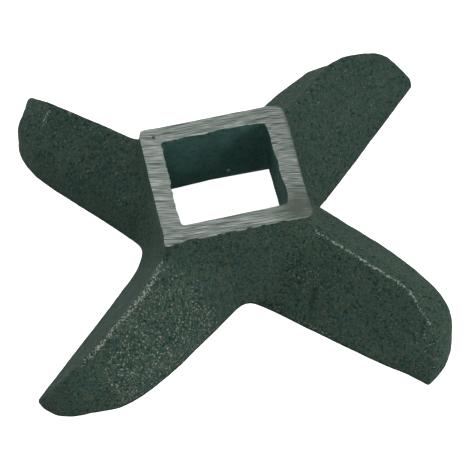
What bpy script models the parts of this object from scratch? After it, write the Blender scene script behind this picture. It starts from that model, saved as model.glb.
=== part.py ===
"""Cast blade of a hand meat grinder: four bevelled arms round a square-bored boss.

The blade is one casting. It lies on its ground underside, which is the face that
runs against the grinder plate, with the bore's axis on +Z and the bore's sides
along X and Y. Lengths are metres.
"""

import math

import bmesh
import bpy
from mathutils import Matrix, Vector
from mathutils.geometry import interpolate_bezier

MM = 0.001

# Boss and bore
BORE_SIDE = 12.7 * MM
BORE_CORNER = 0.4 * MM
BOSS_WALL = 2.25 * MM
BOSS_RISE = 0.95 * MM
BOSS_CORNER = 0.45 * MM
BOSS_DRAFT = math.radians(5.6)

# Hollow under the boss
HOLLOW_DEPTH = 4.0 * MM
HOLLOW_RIM = 0.3 * MM
HOLLOW_CORNER = 1.2 * MM

# Arms, each in its own frame: u runs outward along the cutting edge, v runs back from it
ARM_COUNT = 4
ARM_TURN = math.radians(2.0)
TIP_RADIUS = 32.2 * MM
EDGE_OFFSET = 7.0 * MM
EDGE_LAND = 0.5 * MM
FRONT_ANGLE = math.radians(56.3)
BACK_OFFSET = 7.4 * MM
BACK_TAPER = math.radians(9.1)
BACK_STRAIGHT = 18.0 * MM
BACK_EASE = 6.6 * MM
TIP_EASE = 8.3 * MM
TIP_RAKE = math.radians(4.2)
BACK_WALL = 4.8 * MM
BACK_SLOPE = math.radians(41.0)
BACK_ROUND = 2.2 * MM
TIP_WALL_SHARE = 0.75
TIP_WALL_BLEND = 6

# Fineness of the curves
STRAIGHT_STEPS = 8
TIP_STEPS = 30
ROUND_STEPS = 5
CORNER_STEPS = 3

# Allowances: stock below the underside that is ground away, and how far a cutter overshoots
ARM_STOCK = 1.0 * MM
BOSS_STOCK = 1.5 * MM
CUT_PAST = 2.0 * MM
MERGE = 0.005 * MM


def clear_scene():
    for obj in list(bpy.data.objects):
        bpy.data.objects.remove(obj, do_unlink=True)


def new_collection(name):
    collection = bpy.data.collections.new(name)
    bpy.context.scene.collection.children.link(collection)
    return collection


def cast_iron():
    """Dark greenish grey of an unpainted sand casting."""
    material = bpy.data.materials.new("cast_iron")
    material.use_nodes = True
    shader = material.node_tree.nodes["Principled BSDF"]
    shader.inputs["Base Color"].default_value = (0.040, 0.062, 0.050, 1.0)
    shader.inputs["Roughness"].default_value = 0.55
    shader.inputs["Metallic"].default_value = 0.6
    return material


def object_from(bm, name, collection):
    bmesh.ops.remove_doubles(bm, verts=bm.verts[:], dist=MERGE)
    bmesh.ops.recalc_face_normals(bm, faces=bm.faces[:])
    mesh = bpy.data.meshes.new(name)
    bm.to_mesh(mesh)
    bm.free()
    obj = bpy.data.objects.new(name, mesh)
    collection.objects.link(obj)
    return obj


def square_block(side_low, side_high, z_low, z_high, corner, name, collection):
    """A square block that may narrow upward, its four upright edges rounded."""
    bm = bmesh.new()
    bmesh.ops.create_cone(
        bm,
        cap_ends=True,
        segments=4,
        radius1=side_low / math.sqrt(2),
        radius2=side_high / math.sqrt(2),
        depth=z_high - z_low,
        matrix=Matrix.Translation((0, 0, (z_low + z_high) / 2)) @ Matrix.Rotation(math.pi / 4, 4, "Z"),
    )
    uprights = [edge for edge in bm.edges if abs(edge.verts[0].co.z - edge.verts[1].co.z) > MERGE]
    if corner > 0:
        bmesh.ops.bevel(bm, geom=uprights, offset=corner, segments=CORNER_STEPS, profile=0.5, affect="EDGES")
    return object_from(bm, name, collection)


def back_outline():
    """Plan of an arm's back, from the blade's axis along the straight and round to the tip corner."""
    tip = Vector((math.sqrt(TIP_RADIUS**2 - EDGE_OFFSET**2), -EDGE_OFFSET, 0))
    along = Vector((math.cos(BACK_TAPER), -math.sin(BACK_TAPER), 0))
    start = Vector((0, BACK_OFFSET, 0))
    bend = start + along * (BACK_STRAIGHT / math.cos(BACK_TAPER))
    ease_out = bend + along * BACK_EASE
    ease_in = tip + Vector((math.sin(TIP_RAKE), math.cos(TIP_RAKE), 0)) * TIP_EASE
    straight = [start.lerp(bend, i / STRAIGHT_STEPS) for i in range(STRAIGHT_STEPS)]
    return straight + interpolate_bezier(bend, ease_out, ease_in, tip, TIP_STEPS)


def inward_normals(outline):
    normals = []
    for i in range(len(outline)):
        ahead = outline[min(i + 1, len(outline) - 1)]
        behind = outline[max(i - 1, 0)]
        tangent = (ahead - behind).normalized()
        normals.append(Vector((tangent.y, -tangent.x, 0)))
    return normals


def wall_height(front):
    """Full height along the arm, running down smoothly at the tip to a share of the front slope's height."""
    share = EDGE_LAND + (front - EDGE_LAND) * TIP_WALL_SHARE
    return (BACK_WALL**-TIP_WALL_BLEND + share**-TIP_WALL_BLEND) ** (-1 / TIP_WALL_BLEND)


def section(foot, inward):
    """Upright wall, rounded shoulder and back slope above one point of the outline, up to the ridge."""
    front = EDGE_LAND + (foot.y + EDGE_OFFSET) * math.tan(FRONT_ANGLE)
    wall = min(wall_height(front), front)
    run = (front - wall) / (math.tan(BACK_SLOPE) - inward.y * math.tan(FRONT_ANGLE))
    turn = math.pi / 2 - BACK_SLOPE
    slope_length = run / math.cos(BACK_SLOPE)
    tangent = min(BACK_ROUND * math.tan(turn / 2), 0.6 * wall, 0.6 * slope_length)
    radius = tangent / math.tan(turn / 2)
    points = [foot - Vector((0, 0, ARM_STOCK))]
    for i in range(ROUND_STEPS + 1):
        angle = turn * i / ROUND_STEPS
        inset = radius * (1 - math.cos(angle))
        rise = wall - tangent + radius * math.sin(angle)
        points.append(foot + inward * inset + Vector((0, 0, rise)))
    points.append(foot + inward * run + Vector((0, 0, wall + run * math.tan(BACK_SLOPE))))
    return points


def build_arm(index, collection):
    """One arm as a loft: sections along the back, closed by the flat front slope and underside."""
    outline = back_outline()
    rows = [section(foot, inward) for foot, inward in zip(outline, inward_normals(outline))]
    bm = bmesh.new()
    grid = [[bm.verts.new(point) for point in row] for row in rows]
    for row, following in zip(grid, grid[1:]):
        for i in range(len(row) - 1):
            bm.faces.new((row[i], following[i], following[i + 1], row[i + 1]))
    root_foot = bm.verts.new((0, -EDGE_OFFSET, -ARM_STOCK))
    root_land = bm.verts.new((0, -EDGE_OFFSET, EDGE_LAND))
    tip_row = grid[-1]
    bm.faces.new([root_foot] + [row[0] for row in grid])
    bm.faces.new([root_foot, root_land, tip_row[-1], tip_row[0]])
    bm.faces.new([root_land] + [row[-1] for row in grid])
    bm.faces.new([root_foot, root_land] + list(reversed(grid[0])))
    direction = math.pi / 4 + ARM_TURN + index * 2 * math.pi / ARM_COUNT
    bmesh.ops.transform(bm, matrix=Matrix.Rotation(direction, 4, "Z"), verts=bm.verts[:])
    return object_from(bm, "arm_%d" % (index + 1), collection)


def ridge_height_at_axis():
    """Highest point of an arm, where its ridge line would reach the blade's axis."""
    outline = back_outline()
    return section(outline[0], inward_normals(outline)[0])[-1].z


def combine(obj, tool, operation):
    modifier = obj.modifiers.new(operation.lower() + "_" + tool.name, "BOOLEAN")
    modifier.operation = operation
    modifier.solver = "EXACT"
    modifier.object = tool
    tool.hide_render = True
    tool.display_type = "WIRE"


def build_blade(parts, tools):
    boss_height = ridge_height_at_axis() + BOSS_RISE
    boss_side = BORE_SIDE + 2 * BOSS_WALL
    draft = 2 * math.tan(BOSS_DRAFT)
    foot_side = boss_side + boss_height * draft
    hollow_side = foot_side - 2 * HOLLOW_RIM
    flare = (hollow_side - BORE_SIDE) / HOLLOW_DEPTH

    blade = square_block(
        foot_side + BOSS_STOCK * draft, boss_side, -BOSS_STOCK, boss_height, BOSS_CORNER, "grinder_blade", parts
    )
    for index in range(ARM_COUNT):
        combine(blade, build_arm(index, tools), "UNION")

    sweep = 2 * (TIP_RADIUS + CUT_PAST)
    grinding = square_block(sweep, sweep, -BOSS_STOCK - CUT_PAST, 0, 0, "underside_cutter", tools)
    combine(blade, grinding, "DIFFERENCE")
    hollow = square_block(
        hollow_side + flare * CUT_PAST,
        BORE_SIDE - flare * CUT_PAST,
        -CUT_PAST,
        HOLLOW_DEPTH + CUT_PAST,
        HOLLOW_CORNER,
        "hollow_cutter",
        tools,
    )
    combine(blade, hollow, "DIFFERENCE")
    bore = square_block(
        BORE_SIDE, BORE_SIDE, -CUT_PAST, boss_height + CUT_PAST, BORE_CORNER, "bore_cutter", tools
    )
    combine(blade, bore, "DIFFERENCE")
    blade.data.materials.append(cast_iron())


def main():
    clear_scene()
    parts = new_collection("meat_grinder_blade")
    tools = new_collection("cutters_and_guides")
    build_blade(parts, tools)


main()
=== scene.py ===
# %% [markdown]
# # The blade of a hand meat grinder
#
# The real blade is one iron casting. Molten iron fills a sand mould, so every surface keeps the
# grain of the sand and every edge comes out a little round. Then two faces are ground bright:
# the underside, which runs against the grinder's plate, and the top of the boss. We make ours
# in the same order: a rough casting first, its grain next, the grinding last.
#
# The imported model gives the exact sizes. We read it first and keep its box, because what we
# make has to stay inside it.

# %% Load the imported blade
import math

import bmesh
import bpy
import numpy as np
from mathutils import Matrix, Vector, noise


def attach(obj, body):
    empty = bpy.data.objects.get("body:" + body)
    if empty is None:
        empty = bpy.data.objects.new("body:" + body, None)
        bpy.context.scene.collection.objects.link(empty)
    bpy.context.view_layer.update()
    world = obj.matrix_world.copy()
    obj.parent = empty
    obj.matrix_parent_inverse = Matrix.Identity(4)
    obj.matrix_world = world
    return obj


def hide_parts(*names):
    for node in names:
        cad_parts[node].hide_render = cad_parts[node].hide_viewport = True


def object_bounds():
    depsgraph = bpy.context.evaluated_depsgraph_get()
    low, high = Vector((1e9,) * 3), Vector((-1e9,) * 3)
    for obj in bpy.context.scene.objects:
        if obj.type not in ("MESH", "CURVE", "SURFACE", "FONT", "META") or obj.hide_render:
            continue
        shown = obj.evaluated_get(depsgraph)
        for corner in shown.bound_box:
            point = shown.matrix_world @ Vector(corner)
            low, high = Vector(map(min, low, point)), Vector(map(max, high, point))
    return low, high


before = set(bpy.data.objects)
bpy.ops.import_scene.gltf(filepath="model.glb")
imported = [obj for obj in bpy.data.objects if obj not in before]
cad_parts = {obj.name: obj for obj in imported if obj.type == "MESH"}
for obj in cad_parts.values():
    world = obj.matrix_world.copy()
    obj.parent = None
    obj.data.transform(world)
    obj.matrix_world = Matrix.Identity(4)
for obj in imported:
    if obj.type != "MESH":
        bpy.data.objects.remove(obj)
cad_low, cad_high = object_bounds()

MM = 0.001
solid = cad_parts["grinder_blade"]
boss_top = cad_high.z
print("blade of", len(solid.data.polygons), "faces,", round(boss_top / MM, 2), "mm high")

# %% [markdown]
# The camera looks down on the blade from the front at 51 degrees. It stands far back with a
# long lens, the way a small part is photographed, so the arms hardly shrink with distance.
# We could aim it with a constraint, but a matrix built from three directions says exactly
# what it does: right, up, and back toward the camera.

# %% Place the camera
CAMERA_AZIMUTH = math.radians(258.3)
CAMERA_ELEVATION = math.radians(51.02)
CAMERA_ROLL = math.radians(1.39)
CAMERA_DISTANCE = 0.6
CAMERA_ASIDE = 0.706 * MM
CAMERA_ABOVE = 0.518 * MM
SENSOR_WIDTH = 36.0
PICTURE_WIDTH = 470
PIXELS_PER_METRE = 8500


def place_camera():
    backward = Vector((
        math.cos(CAMERA_AZIMUTH) * math.cos(CAMERA_ELEVATION),
        math.sin(CAMERA_AZIMUTH) * math.cos(CAMERA_ELEVATION),
        math.sin(CAMERA_ELEVATION),
    ))
    right = Vector((0, 0, 1)).cross(backward).normalized()
    up = backward.cross(right)
    turned_right = right * math.cos(CAMERA_ROLL) - up * math.sin(CAMERA_ROLL)
    turned_up = right * math.sin(CAMERA_ROLL) + up * math.cos(CAMERA_ROLL)
    matrix = Matrix((turned_right, turned_up, backward)).transposed().to_4x4()
    matrix.translation = backward * CAMERA_DISTANCE + right * CAMERA_ASIDE + up * CAMERA_ABOVE
    data = bpy.data.cameras.new("camera")
    data.sensor_width = SENSOR_WIDTH
    data.lens = SENSOR_WIDTH * PIXELS_PER_METRE * CAMERA_DISTANCE / PICTURE_WIDTH
    camera = bpy.data.objects.new("camera", data)
    bpy.context.scene.collection.objects.link(camera)
    camera.matrix_world = matrix
    bpy.context.scene.camera = camera
    return camera


camera = place_camera()
print("camera with a", round(camera.data.lens), "mm lens")

# %% [markdown]
# The blade lies on a plain white table in a light tent. Soft light comes from above and
# behind, so the faces that slope away from us are the lighter ones, and two fills reach the
# faces toward us. Each lamp is a large area light aimed at the blade.

# %% Hang the lamps
LAMPS = {
    "tent_back": (Vector((-0.20, 0.50, 0.40)), 0.50, 1.6),
    "tent_top": (Vector((0.02, 0.02, 0.60)), 0.40, 0.85),
    "fill_right": (Vector((0.45, -0.35, 0.25)), 0.30, 1.7),
    "fill_front": (Vector((-0.12, -0.42, 0.50)), 0.25, 0.42),
}
WORLD_STRENGTH = 0.50


def hang_lamp(name, place, size, watts):
    data = bpy.data.lights.new(name, "AREA")
    data.shape = "SQUARE"
    data.size = size
    data.energy = watts
    lamp = bpy.data.objects.new(name, data)
    bpy.context.scene.collection.objects.link(lamp)
    lamp.location = place
    lamp.rotation_euler = place.to_track_quat("Z", "Y").to_euler()


for name, (place, size, watts) in LAMPS.items():
    hang_lamp(name, place, size, watts)
bpy.context.scene.view_settings.view_transform = "Standard"
print("hung", len(LAMPS), "lamps")

# %% [markdown]
# A material is a small network of nodes. Short helpers keep the wiring readable: they add a
# node and plug in its values, start a material, and make noise, ramps and mixtures. All of
# them measure in millimetres, because a blade of 53 mm is tiny beside Blender's usual metres.

# %% Helpers for materials
# The Mix node has plugs for every kind of value. These are its share and its two colours.
MIX_PLUGS = (0, 6, 7)
MIX_RESULT = 2


def plug(tree, value, socket):
    """Links another node's output to the socket, or sets a plain value on it."""
    if isinstance(value, bpy.types.NodeSocket):
        tree.links.new(value, socket)
    else:
        socket.default_value = value


def add_node(tree, kind, **plugs):
    node = tree.nodes.new("ShaderNode" + kind)
    for name, value in plugs.items():
        plug(tree, value, node.inputs[name.replace("_", " ")])
    return node


def math_node(tree, operation, *values):
    node = add_node(tree, "Math")
    node.operation = operation
    for socket, value in zip(node.inputs, values):
        plug(tree, value, socket)
    return node.outputs[0]


def times(tree, first, second):
    return math_node(tree, "MULTIPLY", first, second)


def start_material(name):
    material = bpy.data.materials.new(name)
    material.use_nodes = True
    tree = material.node_tree
    return material, tree, tree.nodes["Principled BSDF"]


def millimetres(tree, stretch=(1, 1, 1), turn=0.0):
    """The object's own coordinates in millimetres, turned and stretched for a directed grain."""
    coordinates = add_node(tree, "TexCoord")
    turned = add_node(tree, "Mapping", Vector=coordinates.outputs["Object"], Rotation=(0, 0, turn))
    scale = [amount / MM for amount in stretch]
    return add_node(tree, "Mapping", Vector=turned.outputs[0], Scale=scale).outputs[0]


def grain(tree, place, size, detail=2.0, roughness=0.5):
    """Noise whose lumps are about this many millimetres across."""
    node = add_node(tree, "TexNoise", Vector=place, Scale=1 / size, Detail=detail, Roughness=roughness)
    return node.outputs[0]


def ramp(tree, value, low, high, to_low=0.0, to_high=1.0):
    """Stretches a value from one range to another and clamps it there."""
    ranges = {"From_Min": low, "From_Max": high, "To_Min": to_low, "To_Max": to_high}
    return add_node(tree, "MapRange", Value=value, **ranges).outputs[0]


def mix(tree, share, first, second):
    node = tree.nodes.new("ShaderNodeMix")
    node.data_type = "RGBA"
    for index, value in zip(MIX_PLUGS, (share, first, second)):
        plug(tree, value, node.inputs[index])
    return node.outputs[MIX_RESULT]


print("helpers for materials are ready")

# %% [markdown]
# The table is a white sheet, and the tent is the white world round it. Both should show as pure
# white, also through the bore, where little light falls. So to the camera's rays, and to those
# that the metal reflects, they glow evenly. From below the sheet is clear, so that a look from
# there shows the underside, and a hair's gap keeps the two flat faces out of one plane.

# %% Lay the white table
TABLE_SIZE = 3.0
TABLE_WHITE = (0.75, 0.75, 0.75, 1)
TABLE_GLOW = 1.0
TABLE_ROUGHNESS = 0.9
TABLE_GAP = 0.05 * MM
BACKDROP = (1.0, 1.0, 1.0, 1)


def seen_directly(tree):
    """One for rays from the camera and for reflected and refracted rays, otherwise zero."""
    path = add_node(tree, "LightPath").outputs
    seen_or_reflected = math_node(tree, "MAXIMUM", path["Is Camera Ray"], path["Is Glossy Ray"])
    return math_node(tree, "MAXIMUM", seen_or_reflected, path["Is Transmission Ray"])


def clear_from_below(tree, shader):
    """Lets rays pass that meet the sheet from behind."""
    behind = add_node(tree, "NewGeometry").outputs["Backfacing"]
    clear = add_node(tree, "BsdfTransparent").outputs[0]
    surface = add_node(tree, "MixShader")
    for socket, value in zip(surface.inputs, (behind, shader.outputs[0], clear)):
        tree.links.new(value, socket)
    tree.links.new(surface.outputs[0], tree.nodes["Material Output"].inputs["Surface"])


def white_sheet():
    material, tree, shader = start_material("white_sheet")
    shader.inputs["Base Color"].default_value = TABLE_WHITE
    shader.inputs["Roughness"].default_value = TABLE_ROUGHNESS
    shader.inputs["Specular IOR Level"].default_value = 0.0
    shader.inputs["Emission Color"].default_value = BACKDROP
    glow = ramp(tree, seen_directly(tree), 0, 1, 0, TABLE_GLOW)
    tree.links.new(glow, shader.inputs["Emission Strength"])
    clear_from_below(tree, shader)
    return material


def lay_table():
    bpy.ops.mesh.primitive_plane_add(size=TABLE_SIZE, location=(0, 0, cad_low.z - TABLE_GAP))
    table = bpy.context.object
    table.name = "table"
    table.data.materials.append(white_sheet())


def fill_world():
    world = bpy.data.worlds.new("tent")
    world.use_nodes = True
    bpy.context.scene.world = world
    tree = world.node_tree
    background = tree.nodes["Background"]
    background.inputs["Color"].default_value = BACKDROP
    strength = ramp(tree, seen_directly(tree), 0, 1, WORLD_STRENGTH, 1)
    tree.links.new(strength, background.inputs["Strength"])


lay_table()
fill_world()
print("table laid", round(TABLE_GAP / MM, 3), "mm below the blade")

# %% [markdown]
# ## The rough casting
#
# Square blocks and Boolean modifiers build the casting here and grind it later, so two small
# tools come first. A block is a stack of square sections, and a Boolean joins it or cuts it away.

# %% Tools for solid blocks
def new_object(name, bm):
    mesh = bpy.data.meshes.new(name)
    bm.to_mesh(mesh)
    bm.free()
    obj = bpy.data.objects.new(name, mesh)
    bpy.context.scene.collection.objects.link(obj)
    return obj


def square_stack(name, levels):
    """Closed block through square sections, each given as half its side and its height."""
    bm = bmesh.new()
    rings = []
    for half, z in levels:
        corners = ((-half, -half, z), (half, -half, z), (half, half, z), (-half, half, z))
        rings.append([bm.verts.new(corner) for corner in corners])
    for lower, upper in zip(rings, rings[1:]):
        for i in range(4):
            following = (i + 1) % 4
            bm.faces.new((lower[i], lower[following], upper[following], upper[i]))
    bm.faces.new(reversed(rings[0]))
    bm.faces.new(rings[-1])
    return new_object(name, bm)


def combine(obj, tool, operation):
    """Joins or cuts with a Boolean modifier, keeps the result and removes the tool."""
    modifier = obj.modifiers.new("combine", "BOOLEAN")
    modifier.operation = operation
    modifier.object = tool
    graph = bpy.context.evaluated_depsgraph_get()
    result = bpy.data.meshes.new_from_object(obj.evaluated_get(graph))
    obj.modifiers.clear()
    obj.data = result
    bpy.data.objects.remove(tool)


print("tools for solid blocks are ready")

# %% [markdown]
# Before grinding, a casting carries a little extra metal on the faces to be ground. We copy
# the solid and move its top and underside outward by that stock. The hollow under the boss is
# only cut at the end, so that its rim comes out crisp. Until then a square collar fills it,
# and the bore runs straight down through the collar.

# %% Add the grinding stock
STOCK_BELOW = 1.0 * MM
STOCK_ABOVE = 0.6 * MM
WELD = 0.001 * MM
COLLAR_SIDE = 18.8 * MM
COLLAR_TOP = 4.2 * MM
BORE_WITHIN = 0.8
top_reach = [max(abs(v.co.x), abs(v.co.y)) for v in solid.data.vertices if v.co.z > boss_top - WELD]
boss_half = max(top_reach)
bore_half = max(reach for reach in top_reach if reach < BORE_WITHIN * boss_half)


def rough_copy(name):
    bm = bmesh.new()
    bm.from_mesh(solid.data)
    bmesh.ops.remove_doubles(bm, verts=bm.verts[:], dist=WELD)
    for vertex in bm.verts:
        if vertex.co.z > boss_top - WELD:
            vertex.co.z += STOCK_ABOVE
        elif vertex.co.z < cad_low.z + WELD:
            vertex.co.z -= STOCK_BELOW
    return new_object(name, bm)


blade = rough_copy("blade")
collar = square_stack("collar", ((COLLAR_SIDE / 2, -STOCK_BELOW), (COLLAR_SIDE / 2, COLLAR_TOP)))
core = square_stack("core", ((bore_half, -2 * STOCK_BELOW), (bore_half, 2 * COLLAR_TOP)))
combine(collar, core, "DIFFERENCE")
combine(blade, collar, "UNION")
boss_width, bore_width = (round(2 * half / MM, 1) for half in (boss_half, bore_half))
print("stock added over a boss", boss_width, "mm wide with a bore of", bore_width, "mm")

# %% [markdown]
# The grain needs points everywhere, not only at corners. A Remesh modifier wraps the whole shape
# in an even net of small squares. Its sharp mode lays points exactly on the ridges, where the
# voxel mode would leave a row of small steps. Subdividing the solid would leave long thin faces
# where the arms meet the boss.

# %% Wrap it in an even net
SQUARE = 0.24 * MM
NET_DEPTH = 8


def remesh(obj):
    modifier = obj.modifiers.new("net", "REMESH")
    modifier.mode = "SHARP"
    modifier.octree_depth = NET_DEPTH
    modifier.scale = max(obj.dimensions) / (SQUARE * 2**NET_DEPTH)
    modifier.sharpness = 1.0
    modifier.use_remove_disconnected = False
    graph = bpy.context.evaluated_depsgraph_get()
    net = bpy.data.meshes.new_from_object(obj.evaluated_get(graph))
    obj.modifiers.clear()
    obj.data = net


remesh(blade)
print("net of", len(blade.data.polygons), "squares")

# %% [markdown]
# From here on all points move at once, as numpy arrays. Two small tools do the shaping: the
# average of each point's neighbours tells which way the surface curves, and the normal says
# which way is out.

# %% Tools that move the points
SMOOTH_STEP = 0.5


def read_points(mesh):
    points = np.empty(len(mesh.vertices) * 3)
    mesh.vertices.foreach_get("co", points)
    return points.reshape(-1, 3)


def write_points(mesh, points):
    mesh.vertices.foreach_set("co", points.ravel())
    mesh.update()


def read_normals(mesh):
    normals = np.empty(len(mesh.vertices) * 3)
    mesh.vertex_normals.foreach_get("vector", normals)
    return normals.reshape(-1, 3)


def read_edges(mesh):
    edges = np.empty(len(mesh.edges) * 2, dtype=int)
    mesh.edges.foreach_get("vertices", edges)
    return edges.reshape(-1, 2)


def to_neighbours(points, edges):
    """The step from each point to the average of its neighbours."""
    total = np.zeros_like(points)
    count = np.bincount(edges.ravel(), minlength=len(points))
    for axis in range(points.shape[1]):
        total[:, axis] += np.bincount(edges[:, 0], points[edges[:, 1], axis], len(points))
        total[:, axis] += np.bincount(edges[:, 1], points[edges[:, 0], axis], len(points))
    return total / count[:, None] - points


def outward_part(steps, normals):
    return np.einsum("ij,ij->i", steps, normals)


def spread(values, edges, rounds):
    """Shares a value out over each point's neighbours, a little further with every round."""
    column = values[:, None].copy()
    for _ in range(rounds):
        column += SMOOTH_STEP * to_neighbours(column, edges)
    return column[:, 0]


print("tools ready for", len(blade.data.vertices), "points")

# %% [markdown]
# Iron doesn't fill a sharp inner corner, and sand doesn't keep a sharp outer one. We smooth
# everything a few times for the edges, then let only the hollow places move outward, many
# times over. That grows a soft fillet where arms and boss meet and leaves the ridges crisp.
# Each step is shared with the neighbours first, or a ridge that runs into the boss would stay
# behind as a groove. A few plain rounds at the end comb out what small folds are left.

# %% Round the edges and fill the inner corners
EDGE_ROUNDS = 8
CRISP_ROUNDS = 2
CRISP_BELOW = 0.3 * MM
SOFT_ABOVE = 3.0 * MM
FILLET_ROUNDS = 150
FILLET_SPEED = 0.6
SHARE_ROUNDS = 6
RELAX_ROUNDS = 25
RELAX_FROM = 0.15 * MM
BORE_HELD = 0.2 * MM
BORE_KEEP = 1.0 * MM


def smoothstep(value, low, high):
    share = np.clip((value - low) / (high - low), 0, 1)
    return share * share * (3 - 2 * share)


def outside_bore(points):
    """Zero inside the bore and the hollow below it, one beyond its walls."""
    reach = np.maximum(abs(points[:, 0]), abs(points[:, 1]))
    return smoothstep(reach, bore_half + BORE_HELD, bore_half + BORE_KEEP)


def round_and_fill(mesh):
    points, edges = read_points(mesh), read_edges(mesh)
    outside = outside_bore(points)
    soft = outside * smoothstep(points[:, 2], CRISP_BELOW, SOFT_ABOVE)
    for turn in range(EDGE_ROUNDS):
        share = np.ones(len(points)) if turn < CRISP_ROUNDS else soft
        points += SMOOTH_STEP * share[:, None] * to_neighbours(points, edges)
    write_points(mesh, points)
    start = points.copy()
    for _ in range(FILLET_ROUNDS):
        normals = read_normals(mesh)
        hollowness = np.maximum(outward_part(to_neighbours(points, edges), normals), 0)
        rise = spread(hollowness, edges, SHARE_ROUNDS)
        points += normals * (rise * outside * FILLET_SPEED)[:, None]
        write_points(mesh, points)
    grown = smoothstep(np.linalg.norm(points - start, axis=1), 0, RELAX_FROM)
    for _ in range(RELAX_ROUNDS):
        points += SMOOTH_STEP * grown[:, None] * to_neighbours(points, edges)
    write_points(mesh, points)


round_and_fill(blade.data)
print("rounded the edges and filled the inner corners")

# %% [markdown]
# No two arms of a cheap casting are alike. In its own frame each arm runs outward along u,
# with v pointing back from the cutting edge. The moulds of these four tips differ by some
# tenths of a millimetre, so we push each tip's outline in or out by an amount that changes
# with the angle round the tip, from the cutting corner over the end to the straight back.
# The ridge on top has a table of its own, and it slides on the plane of the front slope. One
# tip has also lost height behind its ridge. Angles are in degrees and pushes in millimetres.

# %% How far each tip is off
ARM_TURN = math.radians(47.0)
ARMS = ("right_back", "left_back", "left_front", "right_front")
SWELL_ANGLES = (-25, -15, -5, 5, 15, 25, 35, 45, 55, 65, 85, 105, 125, 140, 165)
TIP_SWELL = {
    "right_back": (0, -0.2, 0.03, 0.1, -0.25, -0.45, -0.5, -0.35, -0.1, -0.25, -0.2, 0.1, 0.2, 0.1, 0),
    "left_back": (0, 0, -0.2, -0.75, -1.02, -0.65, 0.08, 0.2, 0.22, 0.25, 0, -0.2, -0.3, -0.2, 0),
    "left_front": (0, -0.1, 0.55, 0.75, 0.45, -0.05, 0, 0.25, 0.25, 0.2, 0.1, 0.2, 0.1, 0, 0),
    "right_front": (0, -0.9, -0.5, -0.15, 0.05, 0.35, 0.5, 0.5, 0.45, 0.35, 0.35, 0.45, 0.65, 0.6, 0),
}
RIDGE_SWELL = {
    "right_back": (0, -0.15, 0.08, 0.12, -0.06, 0.02, 0.2, 0.32, 0.35, 0.4, 0.4, 0.3, 0.25, 0.15, 0),
    "left_back": (0, 0, -0.2, -0.65, -0.65, -0.2, 0, 0, 0, 0, 0, 0, -0.1, -0.1, 0),
    "left_front": (0, -0.1, 0.55, 0.8, 0.55, 0.4, 0.45, 0.45, 0.4, 0.4, 0.5, 0.6, 0.65, 0.45, 0.1),
    "right_front": (
        0, -0.8, -0.15, -0.3, -0.55, -0.35, -0.1, -0.1,
        -0.12, -0.15, -0.2, -0.24, -0.24, -0.22, 0,
    ),
}
EDGE_PUSH = {
    "right_back": (0.1, 0.33),
    "left_back": (0, 0),
    "left_front": (-0.25, -0.1),
    "right_front": (-0.05, 0.42),
}
TIP_DROP = {"right_back": (0.2, (-5, 15), (50, 75))}
print("tips differ by up to", max(abs(push) for pushes in TIP_SWELL.values() for push in pushes), "mm")

# %% [markdown]
# To push a tip we turn the points into its arm's frame, measure their angle and distance from
# a centre inside the tip, look up the push and turn them back. The push fades toward that
# centre and toward the boss, so only the outline and the ridge move and the faces between
# them follow. Each cutting edge is pushed by one amount at its root and another at its tip.
# A sculpting brush could do all this, but nobody could repeat its strokes.

# %% Make each tip its own
EDGE_OFFSET = 7.0
EDGE_LAND = 0.5
FRONT_RISE = math.tan(math.radians(56.3))
TIP_CENTRE = (21.0, -5.0)
TIP_FADE = (2.0, 10.0)
RIDGE_FADE = (1.0, 4.0)
CREST_SHARE = (0.65, 0.93)
ROOT_FADE = (4, 12)
DROP_FADE = (14, 20)
EDGE_SPAN = (9, 31)
EDGE_FADE = (7, 11)
LOW_FRONT = 3.0
TINY = 1e-6


def turn_plan(points, angle):
    cosine, sine = math.cos(angle), math.sin(angle)
    turned = points.copy()
    turned[:, 0] = points[:, 0] * cosine - points[:, 1] * sine
    turned[:, 1] = points[:, 0] * sine + points[:, 1] * cosine
    return turned


def arm_angle(arm):
    return ARM_TURN + ARMS.index(arm) * math.pi / 2


def swell_tip(points, arm):
    """Pushes one arm's outline and ridge away from a centre inside its tip."""
    local = turn_plan(points, -arm_angle(arm)) / MM
    across = local[:, :2] - np.array(TIP_CENTRE)
    distance = np.maximum(np.hypot(across[:, 0], across[:, 1]), TINY)
    round_tip = np.degrees(np.arctan2(across[:, 1], across[:, 0]))
    front = EDGE_LAND + np.maximum(local[:, 1] + EDGE_OFFSET, 0) * FRONT_RISE
    crest = smoothstep(local[:, 2] / front, *CREST_SHARE)
    push = np.interp(round_tip, SWELL_ANGLES, TIP_SWELL[arm], left=0, right=0)
    push *= smoothstep(distance, *TIP_FADE)
    ridge_push = np.interp(round_tip, SWELL_ANGLES, RIDGE_SWELL[arm], left=0, right=0)
    ridge_push *= smoothstep(distance, *RIDGE_FADE)
    push += crest * (ridge_push - push)
    push *= smoothstep(local[:, 0], *ROOT_FADE)
    moved = across * (push / distance)[:, None]
    local[:, :2] += moved
    local[:, 2] += crest * moved[:, 1] * FRONT_RISE
    if arm in TIP_DROP:
        share, start, end = TIP_DROP[arm]
        there = smoothstep(round_tip, *start) * (1 - smoothstep(round_tip, *end))
        there *= smoothstep(local[:, 0], *DROP_FADE)
        local[:, 2] *= 1 - share * there * (1 - crest) * (local[:, 2] > 0)
    low_front = smoothstep(-local[:, 1], LOW_FRONT, EDGE_OFFSET) * smoothstep(local[:, 0], *EDGE_FADE)
    local[:, 1] -= low_front * np.interp(local[:, 0], EDGE_SPAN, EDGE_PUSH[arm])
    return turn_plan(local * MM, arm_angle(arm))


points = read_points(blade.data)
for arm in ARMS:
    points = swell_tip(points, arm)
write_points(blade.data, points)
print("shaped", len(ARMS), "tips")

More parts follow.
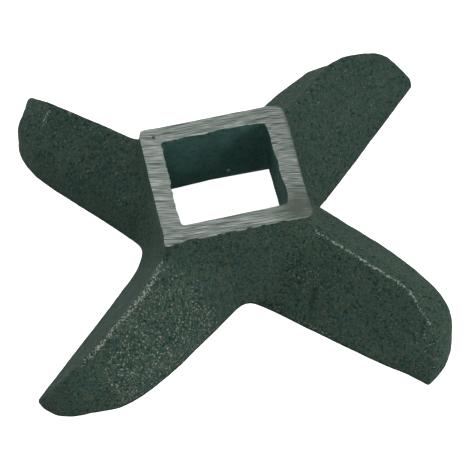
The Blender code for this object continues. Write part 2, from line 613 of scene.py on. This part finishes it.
# %% [markdown]
# The boss sits a little askew, because the two halves of the mould didn't close exactly over
# each other. Each of its corners is shifted sideways, more the higher up, and points between
# two corners take a share of both. The bore's walls shift alike at every height and so stay
# upright. Turning the whole boss would keep it square, which the real one isn't.

# %% Lean the boss
BOSS_PULLS = (
    ((1, 1), (-0.06, 0.38)),
    ((-1, 1), (-0.12, -0.06)),
    ((-1, -1), (-0.64, -0.09)),
    ((1, -1), (-0.42, 0.40)),
)
BOSS_LEAN_FROM = 3.0 * MM
LEAN_ENDS = 1.5


def lean_boss(points):
    height = smoothstep(points[:, 2], BOSS_LEAN_FROM, boss_top)
    height = np.maximum(height, 1 - outside_bore(points))
    reach = np.maximum(abs(points[:, 0]), abs(points[:, 1]))
    near_boss = 1 - smoothstep(reach, boss_half, LEAN_ENDS * boss_half)
    moved = points.copy()
    for (side_x, side_y), move in BOSS_PULLS:
        share_x = np.clip(0.5 + 0.5 * side_x * points[:, 0] / boss_half, 0, 1)
        share_y = np.clip(0.5 + 0.5 * side_y * points[:, 1] / boss_half, 0, 1)
        share = share_x * share_y * height * near_boss
        moved[:, 0] += share * move[0] * MM
        moved[:, 1] += share * move[1] * MM
    return moved


points = lean_boss(read_points(blade.data))
print("leaned the boss by its", len(BOSS_PULLS), "corners")

# %% [markdown]
# Some single places are pulled too, in the frame of the nearest arm. Each pull has a centre,
# a reach and a move, and dies away like a bell curve. Then the roots of the arms are smoothed
# until the ridges melt into the boss.

# %% Pull single places and soften the roots
PULLS = (
    ("left_back", (31, -3, 5.0), (4, 6, 5), (0, 0, -0.2)),
    ("left_front", (6.5, -8.0, 2.0), (2.2, 2.2, 5.0), (-0.2, -0.7, 0)),
    ("left_back", (12.4, -0.7, 10.1), (1.2, 1.5, 1.4), (0.7, -0.35, 0)),
    ("left_back", (12.2, 0, 12.3), (1.0, 1.0, 0.9), (-0.12, 0, 0)),
    ("left_front", (12.4, -0.8, 12.2), (1.0, 1.0, 1.5), (0.62, 0.1, 0)),
    ("right_back", (12.3, 0, 12.2), (1.3, 1.3, 1.5), (-0.38, 0, 0)),
    ("right_front", (8.5, -7.2, 1.0), (4.5, 2.0, 3.0), (0, 0.2, 0)),
    ("right_front", (9.4, 4.6, 7.0), (2.0, 2.0, 3.0), (0, 0.28, 0.2)),
    ("right_back", (9.0, -0.3, 10.5), (0.9, 0.9, 3.0), (-0.4, 0, 0)),
    ("right_front", (9.0, 0, 10.5), (0.8, 0.8, 3.0), (-0.3, 0, 0)),
)
ROOT_PLACE = (12.0, -0.8, 10.0)
ROOT_REACH = (2.6, 2.2, 3.0)
ROOT_SOFT = (0.5, 1.1)
ROOT_BELOW_TOP = 0.6 * MM
ROOT_ROUNDS = 60
BOXY = 4


def how_far(points, arm, centre, reach, order=2):
    """Distance of each point from a place on an arm, counted in reaches. A higher order is boxier."""
    away = (turn_plan(points, -arm_angle(arm)) / MM - centre) / reach
    return np.linalg.norm(away, ord=order, axis=1)


def pull_region(points, arm, centre, reach, move):
    share = np.exp(-how_far(points, arm, centre, reach) ** 2)
    step = turn_plan(np.array([move]) * MM, arm_angle(arm))
    return points + share[:, None] * step


def soften_roots(points, edges):
    share = sum(1 - smoothstep(how_far(points, arm, ROOT_PLACE, ROOT_REACH), *ROOT_SOFT) for arm in ARMS)
    share *= outside_bore(points) * (1 - smoothstep(points[:, 2], boss_top - ROOT_BELOW_TOP, boss_top))
    for _ in range(ROOT_ROUNDS):
        points = points + SMOOTH_STEP * share[:, None] * to_neighbours(points, edges)
    return points


for pull in PULLS:
    points = pull_region(points, *pull)
points = soften_roots(points, read_edges(blade.data))
write_points(blade.data, points)
print("pulled", len(PULLS), "places and softened", len(ARMS), "roots")

# %% [markdown]
# Handling wore the ridges bright in part, and a painted highlight lies on them too. Some regions get
# bright specks, partly broken grains and partly painted glints, and some faces get painted shade. The
# ridges have their start, their end and the strength of their wear and painted highlight, and how sharply
# they must bulge. Everything else is a patch: its kind, its arm, its centre, its reach in three directions
# and its strength. Lengths are in millimetres.

# %% Where the metal is worn and specked, and where highlights, glints and shade are painted
# Bright lines along the ridges: partly wear, partly a painted highlight.
RIDGE_WEAR_AND_HIGHLIGHT = {
    "right_back": (14.0, 30.0, 0.25, 0.06),
    "left_back": (14.0, 30.0, 0.10, 0.06),
    "left_front": (12.8, 29.0, 0.55, 0.035),
    "right_front": (11.5, 31.0, 0.7, 0.035),
}
PATCHES = (
    # Bright spots of wear, partly painted highlight; the long one on the right front arm lies along its
    # cutting edge.
    ("wear_and_highlight", "left_back", (25.1, 0.0, 7.6), (0.3, 1.3, 1.2), 0.45),
    ("wear_and_highlight", "left_back", (26.2, -1.3, 7.5), (1.0, 0.7, 1.0), 0.15),
    ("wear_and_highlight", "left_back", (22.3, -1.4, 8.9), (0.25, 0.25, 0.4), 1.0),
    ("wear_and_highlight", "left_front", (13.6, -0.9, 9.4), (1.0, 0.3, 0.6), 0.45),
    ("wear_and_highlight", "right_front", (13.3, -0.72, 9.9), (1.3, 0.22, 0.6), 0.55),
    ("wear_and_highlight", "right_front", (28.6, -4.3, 4.5), (0.25, 0.25, 0.3), 0.5),
    ("wear_and_highlight", "right_front", (29.5, -4.7, 3.9), (0.2, 0.2, 0.3), 0.5),
    ("wear_and_highlight", "right_front", (11.5, -7.1, 0.6), (7.0, 0.35, 0.3), 0.3),
    # Regions of bright specks: partly broken grains, partly painted glints.
    ("specks_and_glints", "left_front", (20.8, 4.5, 5.0), (9.4, 5.8, 12.0), 1.0),
    ("specks_and_glints", "right_front", (12.8, -4.1, 4.9), (2.2, 1.1, 1.6), 0.7),
    ("specks_and_glints", "right_front", (28.4, -4.6, 4.2), (2.4, 1.3, 1.8), 0.5),
    ("specks_and_glints", "left_back", (16.0, 2.0, 7.0), (8.0, 4.0, 5.0), 0.25),
    ("specks_and_glints", "right_back", (16.5, -0.5, 8.5), (3.0, 2.0, 3.0), 0.4),
    ("specks_and_glints", "right_back", (20.0, -3.0, 6.0), (9.0, 4.0, 6.0), 0.2),
    # Painted shade: the large patches darken whole faces of the arms, the small one on the right front arm
    # darkens one spot.
    ("painted_shade", "left_back", (19.0, 1.0, 5.0), (15.0, 9.0, 12.0), 0.15),
    ("painted_shade", "right_back", (20.0, -4.5, 4.0), (14.0, 4.5, 9.0), 0.12),
    ("painted_shade", "right_front", (14.3, -5.0, 3.5), (0.4, 0.9, 1.3), 0.5),
    ("painted_shade", "left_front", (18.0, -4.5, 4.0), (15.0, 3.5, 6.0), 0.2),
)
print(len(RIDGE_WEAR_AND_HIGHLIGHT), "worn ridges and", len(PATCHES), "patches")

# %% [markdown]
# We note all this at every point before the grain goes on, while the surface is still clean.
# Ridges bulge, so curvature finds them. The materials read the three marks as attributes.

# %% Mark the points
CURVE_ROUNDS = 2
WEAR_AND_HIGHLIGHT_STARTS = (-0.7, 0.7)
WEAR_AND_HIGHLIGHT_ENDS = (-1.5, 1.0)
WEAR_AND_HIGHLIGHT_ABOVE = 2.0
PATCH_EDGE = (0.8, 1.1)
MARKS = ("wear_and_highlight", "specks_and_glints", "painted_shade")


def store_attribute(mesh, name, values):
    attribute = mesh.attributes.new(name, "FLOAT", "POINT")
    attribute.data.foreach_set("value", values.astype(np.float32))


def find_bulge(mesh):
    """How sharply the surface bulges at each point, smoothed a little."""
    points, edges = read_points(mesh), read_edges(mesh)
    bulge = -outward_part(to_neighbours(points, edges), read_normals(mesh)) / SQUARE
    return spread(bulge, edges, CURVE_ROUNDS)


def ridge_wear_and_highlight(points, bulge, arm):
    start, end, strength, sharpness = RIDGE_WEAR_AND_HIGHLIGHT[arm]
    local = turn_plan(points, -arm_angle(arm)) / MM
    along = smoothstep(local[:, 0] - start, *WEAR_AND_HIGHLIGHT_STARTS) * (1 - smoothstep(local[:, 0] - end, *WEAR_AND_HIGHLIGHT_ENDS))
    return strength * along * smoothstep(bulge, sharpness, 2 * sharpness) * (local[:, 2] > WEAR_AND_HIGHLIGHT_ABOVE)


def mark_finish(mesh):
    points, bulge = read_points(mesh), find_bulge(mesh)
    marks = {name: np.zeros(len(points)) for name in MARKS}
    for arm in ARMS:
        marks["wear_and_highlight"] = np.maximum(marks["wear_and_highlight"], ridge_wear_and_highlight(points, bulge, arm))
    for name, arm, centre, reach, strength in PATCHES:
        share = strength * (1 - smoothstep(how_far(points, arm, centre, reach, BOXY), *PATCH_EDGE))
        marks[name] = np.maximum(marks[name], share)
    for name, values in marks.items():
        store_attribute(mesh, name, values)
    return bulge


bulge = mark_finish(blade.data)
print("bulge from", round(bulge.min(), 3), "to", round(bulge.max(), 3))

# %% [markdown]
# The grain comes in three sizes: slow waves of the mould, lumps of one or two millimetres, and
# single grains of sand. Noise moves every point along its normal. The bore's top rim is torn
# more deeply on all sides but the front, as if it broke when the core was knocked out.

# %% Give it the grain of the sand
GRAINS = (
    (7.0, 0.10),
    (1.6, 0.035),
    (0.55, 0.025),
)
RIM_TEAR = (
    (2.4, 0.16),
    (0.8, 0.12),
    (0.45, 0.12),
)
RIM_DEPTH = 2.0 * MM
TEAR_STARTS = -bore_half
TEAR_IS_FULL = -0.5 * bore_half
SEED_SHIFT = (11.3, 7.9, 5.1)
RIM_SEED = 5


def noise_at(points, size, seed):
    shift = Vector([seed * amount for amount in SEED_SHIFT])
    return np.array([noise.noise(Vector(point) / size + shift) for point in points / MM])


def sand_grain(mesh):
    points, normals = read_points(mesh), read_normals(mesh)
    out = np.zeros(len(points))
    for seed, (size, height) in enumerate(GRAINS):
        out += noise_at(points, size, seed) * height
    in_bore = 1 - outside_bore(points)
    near_rim = in_bore * smoothstep(points[:, 2], boss_top - RIM_DEPTH, boss_top)
    near_rim *= smoothstep(points[:, 1], TEAR_STARTS, TEAR_IS_FULL)
    for seed, (size, height) in enumerate(RIM_TEAR, RIM_SEED):
        out += noise_at(points, size, seed) * height * near_rim
    write_points(mesh, points + normals * (out * MM)[:, None])


def keep_inside(mesh):
    points = read_points(mesh)
    points[:, :2] = np.clip(points[:, :2], np.array(cad_low)[:2], np.array(cad_high)[:2])
    write_points(mesh, points)


sand_grain(blade.data)
keep_inside(blade.data)
print("sand grain of", len(GRAINS), "sizes")

# %% [markdown]
# Now the cutting. A block that covers everything above the top plane, one below the underside,
# and a flared one for the hollow under the boss are cut away with the same Boolean modifier.
# The cuts leave flat faces with crisp rims that follow the lumps of the casting, which no bevel
# could give. The hollow reaches a little higher on the right, as its core sat tilted.

# %% Grind the two faces and cut the hollow
CUT_OVER = 5.0 * MM
HOLLOW_LEVELS = ((10.1, -1.2), (9.4, 0.0), (7.6, 3.0), (bore_half / MM, 3.7), (5.7, 4.35))
HOLLOW_TILT = 0.06
ground_low = cad_low.z
ground_top = boss_top
sweep = cad_high.x + CUT_OVER


def hollow_block():
    block = square_stack("hollow_block", [(half * MM, z * MM) for half, z in HOLLOW_LEVELS])
    for vertex in block.data.vertices:
        if vertex.co.z > 0:
            vertex.co.z += HOLLOW_TILT * vertex.co.x
    return block


def flat_block(name, bottom, top):
    return square_stack(name, ((sweep, bottom), (sweep, top)))


combine(blade, hollow_block(), "DIFFERENCE")
combine(blade, flat_block("top_block", ground_top, ground_top + CUT_OVER), "DIFFERENCE")
combine(blade, flat_block("low_block", ground_low - CUT_OVER, ground_low), "DIFFERENCE")
print("cut down to", len(blade.data.polygons), "faces")

# %% [markdown]
# ## Finishes
#
# Bare iron shows through the cast skin in three ways: as bright specks where grains broke off, partly
# painted glints, as lines where ridges are worn, partly a painted highlight, and as a burr that hangs over
# the boss's front edge.
# Each is a mask, a value from zero to one made of noise and of what we noted at the points.
# A painted picture could do it too, but the surface would have to be laid out flat first.

# %% Where bare iron, painted highlights and painted glints show
SPARK_LIFT_FINE = 0.11
SPARK_LIFT_SANDY = 0.10
SPARK_FINE = (0.68, 0.76)
SPARK_SANDY = (0.54, 0.62)
WEAR_AND_HIGHLIGHT_LIFT = 0.2
WEAR_AND_HIGHLIGHT_FULL = 0.6
WEAR_AND_HIGHLIGHT_FINE = (0.58, 0.70)
BURR_FROM = -7.4
BURR_FADE = 0.3
BURR_HEIGHT = 0.22
BURR_FULL_AT = 0.4
BURR_PATCHY = (0.46, 0.56)


def attribute(tree, name):
    node = add_node(tree, "Attribute")
    node.attribute_name = name
    return node.outputs["Fac"]


def speck_and_glint_mask(tree, fine, sandy):
    """Where two noises peak together, on the tops of the relief: bare grains and painted glints. A region
    of them lifts both, so more of them pass.
    """
    specks_and_glints = attribute(tree, "specks_and_glints")
    lifted_fine = math_node(tree, "MULTIPLY_ADD", specks_and_glints, SPARK_LIFT_FINE, fine)
    lifted_sandy = math_node(tree, "MULTIPLY_ADD", specks_and_glints, SPARK_LIFT_SANDY, sandy)
    return times(tree, ramp(tree, lifted_fine, *SPARK_FINE), ramp(tree, lifted_sandy, *SPARK_SANDY))


def wear_and_highlight_mask(tree, fine):
    """The more wear and painted highlight, the more of the grains' tops are bright."""
    wear_and_highlight = attribute(tree, "wear_and_highlight")
    lifted = math_node(tree, "MULTIPLY_ADD", wear_and_highlight, WEAR_AND_HIGHLIGHT_LIFT, fine)
    return times(tree, ramp(tree, wear_and_highlight, 0, WEAR_AND_HIGHLIGHT_FULL), ramp(tree, lifted, *WEAR_AND_HIGHLIGHT_FINE))


def burr_mask(tree, x_y_z, patchy):
    top = boss_top / MM
    high = ramp(tree, x_y_z["Z"], top - BURR_HEIGHT, top - BURR_FULL_AT * BURR_HEIGHT)
    front = ramp(tree, x_y_z["Y"], BURR_FROM, BURR_FROM - BURR_FADE)
    return times(tree, times(tree, high, front), ramp(tree, patchy, *BURR_PATCHY))


print("masks for sparks, wear and the burr are ready")

# %% [markdown]
# The skin is a dark greenish grey that the foundry's heat and oil leave on iron. It hardly shines, because
# its grain scatters the light. We mix two tones with slow noise and lay four more over them where finer
# noise is high or low; two of these follow the relief, as painted shade in its hollows and painted light
# on its tops. Then come the painted shade on some faces of the arms, a painted contact shade near the
# table, and the bare iron through its masks, which also carry painted highlights and glints.

# %% The cast skin
# The darkest tone: a real pit on the boss top, and painted shade in the hollows of the relief, near the
# table and in the bore.
IRON_PIT_AND_SHADE = (0.008, 0.018, 0.016, 1)
IRON_DARK = (0.030, 0.058, 0.046, 1)
IRON_MID = (0.053, 0.088, 0.067, 1)
# A lighter tone on the tops of the relief, partly painted light.
IRON_CRUMB_AND_LIGHT = (0.105, 0.145, 0.112, 1)
IRON_WARM = (0.062, 0.072, 0.050, 1)
IRON_COOL = (0.026, 0.060, 0.058, 1)
# Painted shade on some faces of the arms.
IRON_PAINTED_SHADE = (0.010, 0.024, 0.024, 1)
# Bare iron, which on the ridges is partly a painted highlight.
IRON_WORN_AND_HIGHLIGHT = (0.30, 0.34, 0.29, 1)
# Bright specks, partly bare grains and partly painted glints.
IRON_SPECK_AND_GLINT = (0.235, 0.26, 0.215, 1)
SKIN_SHINE = 0.005
SKIN_ROUGHNESS = 0.55
SPARK_METAL = 0.7
# Painted contact shade: the skin darkens within this height of the table.
CONTACT_SHADE_HEIGHT = 0.35
CONTACT_SHADE_FULL_AT = 0.3
CONTACT_SHADE_SHARE = 0.6
CLOUD_SIZE = 3.5
TINT_SIZE = 0.9
SAND_SIZE = 0.45
FINE_SIZE = 0.22
SAND_RELIEF = 0.45 * MM
FINE_RELIEF = 0.16 * MM
SKIN_TONES = (
    ("tint", 0.50, 0.68, 0.6, IRON_WARM),
    ("tint", 0.48, 0.34, 0.6, IRON_COOL),
    # These two follow the relief: painted shade in its hollows and painted light on its tops.
    ("sandy", 0.49, 0.34, 0.7, IRON_PIT_AND_SHADE),
    ("fine", 0.52, 0.68, 0.6, IRON_CRUMB_AND_LIGHT),
)


def skin_colour(tree, noises):
    colour = mix(tree, ramp(tree, noises["cloudy"], 0.35, 0.65, 0.2, 0.8), IRON_DARK, IRON_MID)
    for name, starts, full, share, tone in SKIN_TONES:
        colour = mix(tree, ramp(tree, noises[name], starts, full, 0, share), colour, tone)
    # Painted shade on some faces of the arms.
    return mix(tree, attribute(tree, "painted_shade"), colour, IRON_PAINTED_SHADE)


def cast_skin():
    material, tree, shader = start_material("cast_skin")
    place = millimetres(tree)
    x_y_z = add_node(tree, "SeparateXYZ", Vector=place).outputs
    noises = {
        "cloudy": grain(tree, place, CLOUD_SIZE, 3),
        "tint": grain(tree, place, TINT_SIZE, 3),
        "sandy": grain(tree, place, SAND_SIZE, 3, 0.65),
        "fine": grain(tree, place, FINE_SIZE, 2, 0.6),
    }
    fine, sandy = noises["fine"], noises["sandy"]
    colour = skin_colour(tree, noises)
    # Painted contact shade, darker toward the table.
    painted_contact_shade = ramp(tree, x_y_z["Z"], CONTACT_SHADE_HEIGHT, CONTACT_SHADE_FULL_AT * CONTACT_SHADE_HEIGHT, 0, CONTACT_SHADE_SHARE)
    colour = mix(tree, painted_contact_shade, colour, IRON_PIT_AND_SHADE)
    # Bare iron on worn ridges, partly a painted highlight, and on the burr.
    bare_and_highlight = math_node(tree, "MAXIMUM", wear_and_highlight_mask(tree, fine), burr_mask(tree, x_y_z, noises["tint"]))
    colour = mix(tree, bare_and_highlight, colour, IRON_WORN_AND_HIGHLIGHT)
    # Bright specks, partly bare grains and partly painted glints.
    speck_and_glint = speck_and_glint_mask(tree, fine, sandy)
    colour = mix(tree, speck_and_glint, colour, IRON_SPECK_AND_GLINT)
    tree.links.new(colour, shader.inputs["Base Color"])
    shader.inputs["Specular IOR Level"].default_value = SKIN_SHINE
    shader.inputs["Roughness"].default_value = SKIN_ROUGHNESS
    tree.links.new(ramp(tree, speck_and_glint, 0, 1, 0, SPARK_METAL), shader.inputs["Metallic"])
    fine_bump = add_node(tree, "Bump", Height=fine, Strength=1.0, Distance=FINE_RELIEF).outputs[0]
    bump = add_node(tree, "Bump", Height=sandy, Strength=1.0, Distance=SAND_RELIEF, Normal=fine_bump)
    tree.links.new(bump.outputs[0], shader.inputs["Normal"])
    return material


skin = cast_skin()
print("made", skin.name)

# %% [markdown]
# Inside the bore the skin never saw the sand: it lay on a baked core. It is smoother and of a more even,
# colder green, painted lighter than the skin outside to stand in for the light that hardly reaches the
# bore, with one bright speck low on the far wall.

# %% The skin inside the bore
# Painted lighter and colder than the outer skin, to stand in for the light that hardly reaches into the
# bore.
BORE_DARK_PAINTED_LIGHTER = (0.036, 0.084, 0.074, 1)
BORE_MID_PAINTED_LIGHTER = (0.050, 0.112, 0.098, 1)
BORE_ROUGHNESS = 0.6
BORE_CLOUD_SIZE = 1.5
BORE_SAND_SIZE = 0.40
BORE_RELIEF = 0.15 * MM
SPECK_PLACE = (1.45, 6.35, 4.7)
SPECK_REACH = (0.10, 0.32)
SPECK_BRIGHT = (0.60, 0.68, 0.62, 1)


def near(tree, place, centre, start, end):
    """One near a place, falling to zero between two distances from it."""
    node = add_node(tree, "VectorMath")
    node.operation = "DISTANCE"
    for socket, value in zip(node.inputs, (place, centre)):
        plug(tree, value, socket)
    return ramp(tree, node.outputs["Value"], start, end, 1, 0)


def bore_skin():
    material, tree, shader = start_material("bore_skin")
    place = millimetres(tree)
    cloudy = grain(tree, place, BORE_CLOUD_SIZE, 3)
    sandy = grain(tree, place, BORE_SAND_SIZE, 3, 0.65)
    colour = mix(tree, ramp(tree, cloudy, 0.35, 0.65), BORE_DARK_PAINTED_LIGHTER, BORE_MID_PAINTED_LIGHTER)
    # Painted shade in the hollows of the relief.
    colour = mix(tree, ramp(tree, sandy, 0.46, 0.32, 0, 0.5), colour, IRON_PIT_AND_SHADE)
    colour = mix(tree, near(tree, place, SPECK_PLACE, *SPECK_REACH), colour, SPECK_BRIGHT)
    tree.links.new(colour, shader.inputs["Base Color"])
    shader.inputs["Specular IOR Level"].default_value = SKIN_SHINE
    shader.inputs["Roughness"].default_value = BORE_ROUGHNESS
    bump = add_node(tree, "Bump", Height=sandy, Strength=1.0, Distance=BORE_RELIEF)
    tree.links.new(bump.outputs[0], shader.inputs["Normal"])
    return material


inner_skin = bore_skin()
print("made", inner_skin.name)

# %% [markdown]
# A grinding wheel leaves bare metal with fine parallel scratches. A noise that is stretched a
# long way in one direction and squeezed in the other gives them, both as lighter and darker
# lines and as a slight relief. The wheel turned a little, so the scratches of the boss's side
# bars lie at another angle than those of the front and the back. Its right edge and one corner
# have tarnished. The underside was ground on another stone, which left weaker marks.

# %% The ground faces
STEEL_DARK = (0.034, 0.046, 0.039, 1)
STEEL_MID = (0.100, 0.124, 0.109, 1)
STEEL_LIGHT = (0.26, 0.285, 0.265, 1)
STEEL_TARNISH = (0.032, 0.048, 0.033, 1)
SCRATCH_STRETCH = (0.30, 10.0, 1.0)
STONE_STRETCH = (0.15, 3.0, 1.0)
STONE_TURN = math.radians(35.0)
SIDE_TURN = math.radians(12.0)
FRONT_TURN = math.radians(2.0)
SIDE_BARS = (6.3, 7.1)
UPPER_HALF = (6, 7)
SMUDGE_SIZE = 1.2
RIGHT_EDGE = (8.1, 8.5)
EDGE_TARNISH = 0.8
TARNISH_PLACE = (7.6, -7.0, 12.1)
TARNISH_REACH = (1.5, 4.0)
PIT_PLACE = (-7.17, 7.35, 12.15)
PIT_REACH = (0.08, 0.30)
BARE_METAL = 0.9
TARNISHED_METAL = 0.4
SCRATCH_RELIEF = 0.02 * MM


def scratch_lines(tree, x_y_z, on_top):
    front_lines = grain(tree, millimetres(tree, SCRATCH_STRETCH, FRONT_TURN), 1.0, 2, 0.6)
    side_lines = grain(tree, millimetres(tree, SCRATCH_STRETCH, SIDE_TURN), 1.0, 2, 0.6)
    stone_lines = grain(tree, millimetres(tree, STONE_STRETCH, STONE_TURN), 1.0, 5, 0.65)
    weak_stone_lines = ramp(tree, stone_lines, 0.2, 0.8, 0.38, 0.62)
    on_side = ramp(tree, math_node(tree, "ABSOLUTE", x_y_z["X"]), *SIDE_BARS)
    return mix(tree, on_top, weak_stone_lines, mix(tree, on_side, front_lines, side_lines))


def ground_steel():
    material, tree, shader = start_material("ground_steel")
    place = millimetres(tree)
    x_y_z = add_node(tree, "SeparateXYZ", Vector=place).outputs
    on_top = ramp(tree, x_y_z["Z"], *UPPER_HALF)
    scratches = scratch_lines(tree, x_y_z, on_top)
    smudges = grain(tree, place, SMUDGE_SIZE, 3)
    right_edge = times(tree, on_top, ramp(tree, x_y_z["X"], *RIGHT_EDGE, 0, EDGE_TARNISH))
    tarnish = math_node(tree, "MAXIMUM", near(tree, place, TARNISH_PLACE, *TARNISH_REACH), right_edge)
    uneven_tarnish = times(tree, tarnish, ramp(tree, smudges, 0.30, 0.50, 0.78, 0.95))
    colour = mix(tree, ramp(tree, scratches, 0.41, 0.61), STEEL_DARK, STEEL_LIGHT)
    colour = mix(tree, ramp(tree, smudges, 0.40, 0.65, 0.0, 0.5), colour, STEEL_MID)
    colour = mix(tree, uneven_tarnish, colour, STEEL_TARNISH)
    colour = mix(tree, near(tree, place, PIT_PLACE, *PIT_REACH), colour, IRON_PIT_AND_SHADE)
    tree.links.new(colour, shader.inputs["Base Color"])
    tree.links.new(ramp(tree, tarnish, 0, 1, BARE_METAL, TARNISHED_METAL), shader.inputs["Metallic"])
    tree.links.new(ramp(tree, scratches, 0.3, 0.7, 0.32, 0.5), shader.inputs["Roughness"])
    bump = add_node(tree, "Bump", Height=scratches, Strength=0.6, Distance=SCRATCH_RELIEF)
    tree.links.new(bump.outputs[0], shader.inputs["Normal"])
    return material


steel = ground_steel()
print("made", steel.name)

# %% [markdown]
# The ground faces are the ones that lie exactly in a grinding plane. We find them by height and
# direction and give them the steel. Faces near the bore that look inward get the inner skin.
# The cast faces are shaded smooth, the ground ones flat, and the rims stay sharp.

# %% Dress the blade
SHARP_FROM = math.radians(60.0)
FLAT_ENOUGH = 0.995
PLANE_SLACK = 0.01 * MM
HOLLOW_REACH = 9.6 * MM
FINISHES = (skin, steel, inner_skin)


def is_ground(face):
    on_top = abs(face.center.z - ground_top) < PLANE_SLACK and face.normal.z > FLAT_ENOUGH
    below = abs(face.center.z - ground_low) < PLANE_SLACK and face.normal.z < -FLAT_ENOUGH
    return on_top or below


def faces_bore(face):
    reach = max(abs(face.center.x), abs(face.center.y))
    looks_inward = face.normal.x * face.center.x + face.normal.y * face.center.y < 0
    near_bore = reach < bore_half + BORE_KEEP
    in_hollow = reach < HOLLOW_REACH and face.center.z < COLLAR_TOP
    return looks_inward and (near_bore or in_hollow)


def finish_of(face):
    if is_ground(face):
        return steel
    return inner_skin if faces_bore(face) else skin


def dress(obj):
    mesh = obj.data
    mesh.materials.clear()
    for material in FINISHES:
        mesh.materials.append(material)
    for face in mesh.polygons:
        face.material_index = FINISHES.index(finish_of(face))
    mesh.shade_smooth()
    mesh.set_sharp_from_angle(angle=SHARP_FROM)
    ground = FINISHES.index(steel)
    for face in mesh.polygons:
        face.use_smooth = face.material_index != ground
    counts = np.bincount([face.material_index for face in mesh.polygons], minlength=len(FINISHES))
    return {material.name: int(count) for material, count in zip(FINISHES, counts)}


print("faces of each finish:", dress(blade))
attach(blade, "root")
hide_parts("grinder_blade")
